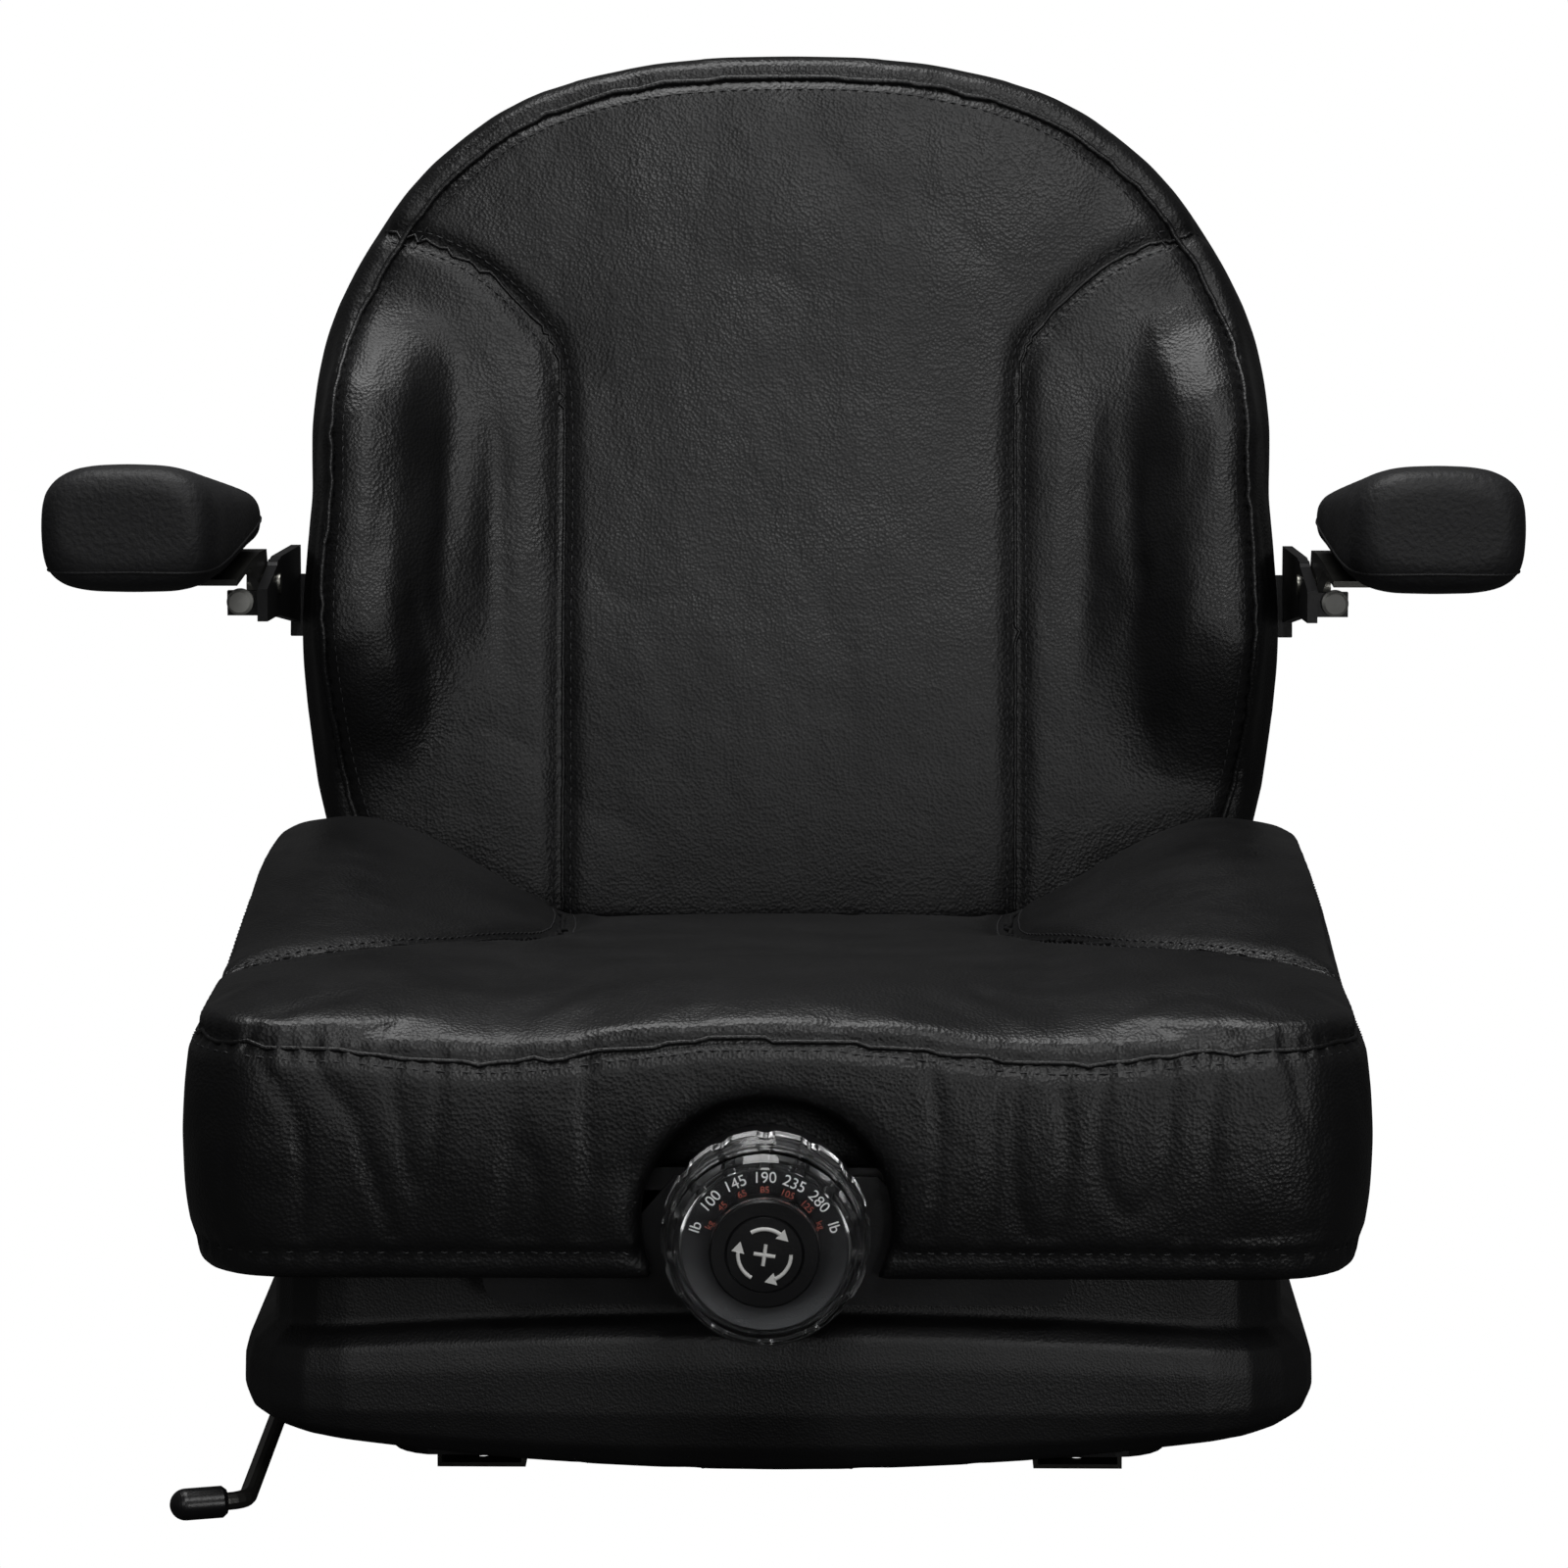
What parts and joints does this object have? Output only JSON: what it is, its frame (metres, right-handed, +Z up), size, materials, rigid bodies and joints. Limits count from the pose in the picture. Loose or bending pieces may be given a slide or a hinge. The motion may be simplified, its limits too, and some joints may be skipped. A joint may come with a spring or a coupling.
{
  "type": "tractor suspension seat",
  "caption": "Padded tractor seat with wings and bolsters, flip-up armrests, scissor suspension with a weight knob, rubber boot and fore and aft slide rails.",
  "frame": {"origin": "centre of the four-bolt pattern on the underside of the slide rails", "axes": "+Z up, -Y towards the front of the seat, +X to the right as seen from in front"},
  "size_m": [0.6846, 0.6623, 0.6218],
  "materials": {
    "vinyl": "black vinyl seat cover with a fine leather grain, semi-matte",
    "skin_foam": "integral-skin foam, matte with a fine speckle",
    "rubber": "moulded rubber with a fine grain",
    "grip": "dipped vinyl, glossy",
    "clear": "clear moulded plastic, polished",
    "plastic": "moulded black plastic",
    "plastic_body": "painted steel tube, gloss black",
    "nylon": "nylon, smooth",
    "zinc": "zinc-plated steel",
    "spring": "spring steel, black finish",
    "steel": "pressed steel, black powder coat"
  },
  "bodies": {
    "base": {"rail_left": "steel", "rail_right": "steel"},
    "carriage": {"slider_left": "zinc", "slider_right": "zinc", "lower_frame": "steel", "lower_track_left": "steel", "lower_track_right": "steel", "lower_pivot_ears": "steel", "lower_pivot_shaft": "zinc", "bump_stops": "rubber", "boot": "rubber", "damper_body": "plastic_body", "damper_lug": "steel", "lever_pin": "zinc"},
    "slide_lever": {"latch_plate": "zinc", "lever_rod": "zinc", "lever_grip": "grip"},
    "outer_arms": {"outer_arm_left": "steel", "outer_arm_right": "steel", "outer_rear_tube": "steel", "outer_front_shaft": "zinc", "centre_pins": "zinc"},
    "inner_arms": {"inner_arm_left": "steel", "inner_arm_right": "steel", "inner_rear_tube": "steel", "inner_front_shaft": "zinc"},
    "upper_roller_pair": {"upper_rollers": "nylon"},
    "lower_roller_pair": {"lower_rollers": "nylon"},
    "damper_piston": {"damper_rod": "zinc"},
    "upper_frame": {"upper_frame": "steel", "upper_track_left": "steel", "upper_track_right": "steel", "upper_pivot_ears": "steel", "upper_pivot_shaft": "zinc", "riser_left": "steel", "riser_right": "steel", "seat_pan": "steel", "seat_cushion": "vinyl", "knob_housing": "plastic", "spring_left": "spring", "spring_right": "spring", "back_panel": "plastic", "back_cushion": "vinyl", "back_brace_left": "steel", "back_brace_right": "steel", "armrest_bracket_left": "steel", "armrest_bracket_right": "steel", "armrest_stops": "zinc", "armrest_bolts": "zinc"},
    "weight_knob": {"knob_shell": "clear", "knob_hub": "plastic", "adjuster_screw": "zinc"},
    "dial": {"weight_dial": "plastic"},
    "yoke": {"adjuster_yoke": "zinc"},
    "armrest_left": {"armrest_pad_left": "skin_foam", "armrest_plate_left": "steel"},
    "armrest_right": {"armrest_pad_right": "skin_foam", "armrest_plate_right": "steel"}
  },
  "joints": [
    {"name": "fore_aft_slide", "type": "slide", "parent": "base", "child": "carriage", "axis": [0, -1, 0], "range_m": [-0.075, 0.075]},
    {"name": "slide_lever_turn", "type": "hinge", "parent": "carriage", "child": "slide_lever", "pos_m": [-0.166, -0.018, 0.0157], "axis": [0, 0, -1], "range_deg": [0, 10], "stiffness_Nm_per_rad": 3, "springref_deg": -6.88},
    {"name": "suspension", "type": "hinge", "parent": "carriage", "child": "outer_arms", "pos_m": [0, 0.13, 0.0313], "axis": [1, 0, 0], "range_deg": [0, 8.98], "stiffness_Nm_per_rad": 1700, "springref_deg": -3.15, "deforming": ["boot", "spring_left", "spring_right"]},
    {"name": "scissor_fold", "type": "hinge", "parent": "outer_arms", "child": "inner_arms", "pos_m": [0, -0.014, 0.0733], "axis": [-1, 0, 0], "range_deg": [0, 18.16]},
    {"name": "frame_level", "type": "hinge", "parent": "inner_arms", "child": "upper_frame", "pos_m": [0, 0.13, 0.1153], "axis": [1, 0, 0], "range_deg": [0, 9.08]},
    {"name": "upper_roller_spin", "type": "hinge", "parent": "outer_arms", "child": "upper_roller_pair", "pos_m": [0, -0.158, 0.1153], "axis": [1, 0, 0], "continuous": true},
    {"name": "lower_roller_spin", "type": "hinge", "parent": "inner_arms", "child": "lower_roller_pair", "pos_m": [0, -0.158, 0.0313], "axis": [1, 0, 0], "continuous": true},
    {"name": "damper_stroke", "type": "slide", "parent": "carriage", "child": "damper_piston", "axis": [0, -1, 0], "range_m": [0, 0.0045]},
    {"name": "weight_knob_turn", "type": "hinge", "parent": "upper_frame", "child": "weight_knob", "pos_m": [-0.004, -0.28, 0.138], "axis": [0, -1, 0], "range_deg": [-1800, 1800]},
    {"name": "dial_turn", "type": "hinge", "parent": "upper_frame", "child": "dial", "pos_m": [-0.004, -0.28, 0.138], "axis": [0, -1, 0], "range_deg": [-75.5, 75.5]},
    {"name": "yoke_travel", "type": "slide", "parent": "upper_frame", "child": "yoke", "axis": [0, -1, 0], "range_m": [-0.0076, 0.0076]},
    {"name": "armrest_left_flip", "type": "hinge", "parent": "upper_frame", "child": "armrest_left", "pos_m": [0, 0.172, 0.364], "axis": [-1, 0, 0], "range_deg": [0, 95]},
    {"name": "armrest_right_flip", "type": "hinge", "parent": "upper_frame", "child": "armrest_right", "pos_m": [0, 0.172, 0.364], "axis": [-1, 0, 0], "range_deg": [0, 95]}
  ],
  "couplings": [
    {"joint": "scissor_fold", "follows": "suspension", "ratio": 2},
    {"joint": "frame_level", "follows": "suspension", "ratio": 1},
    {"joint": "damper_stroke", "follows": "suspension", "m_per_rad": 0.01998},
    {"joint": "dial_turn", "follows": "weight_knob_turn", "ratio": 0.041667},
    {"joint": "yoke_travel", "follows": "weight_knob_turn", "m_per_rad": 0.00023873}
  ]
}
